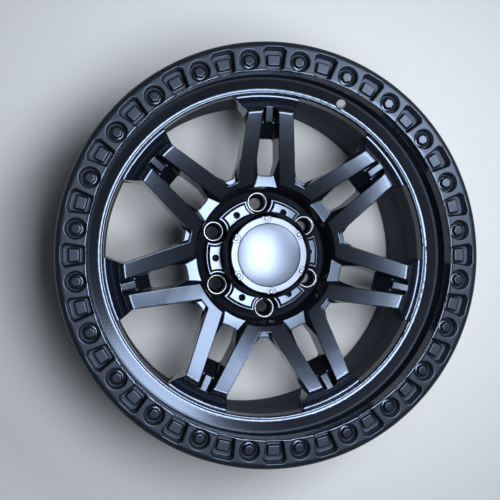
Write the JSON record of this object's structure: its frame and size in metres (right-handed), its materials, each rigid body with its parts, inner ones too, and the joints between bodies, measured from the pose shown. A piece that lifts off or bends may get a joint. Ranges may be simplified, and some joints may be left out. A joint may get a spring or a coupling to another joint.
{
  "type": "wheel rim",
  "caption": "Bare satin black off-road wheel rim with paired spokes, a pocketed ring with bolts and a silver centre cap.",
  "frame": {"origin": "centre of the hub bore at the mounting face", "axes": "+Z along the wheel's axle axis, out of its front face; +X to the right and +Y up as the picture sees the face"},
  "size_m": [0.502, 0.502, 0.26],
  "materials": {
    "wheel_paint": "satin",
    "bolt_black": "satin",
    "cap_silver": "satin",
    "dome_silver": "satin",
    "screw_steel": "satin",
    "seal_rubber": "matte"
  },
  "bodies": {
    "root": {"wheel_casting": "wheel_paint", "ring_bolts": "bolt_black", "cap_body": "cap_silver", "cap_dome": "dome_silver", "cap_screws": "screw_steel", "cap_o_ring": "seal_rubber"}
  },
  "joints": []
}
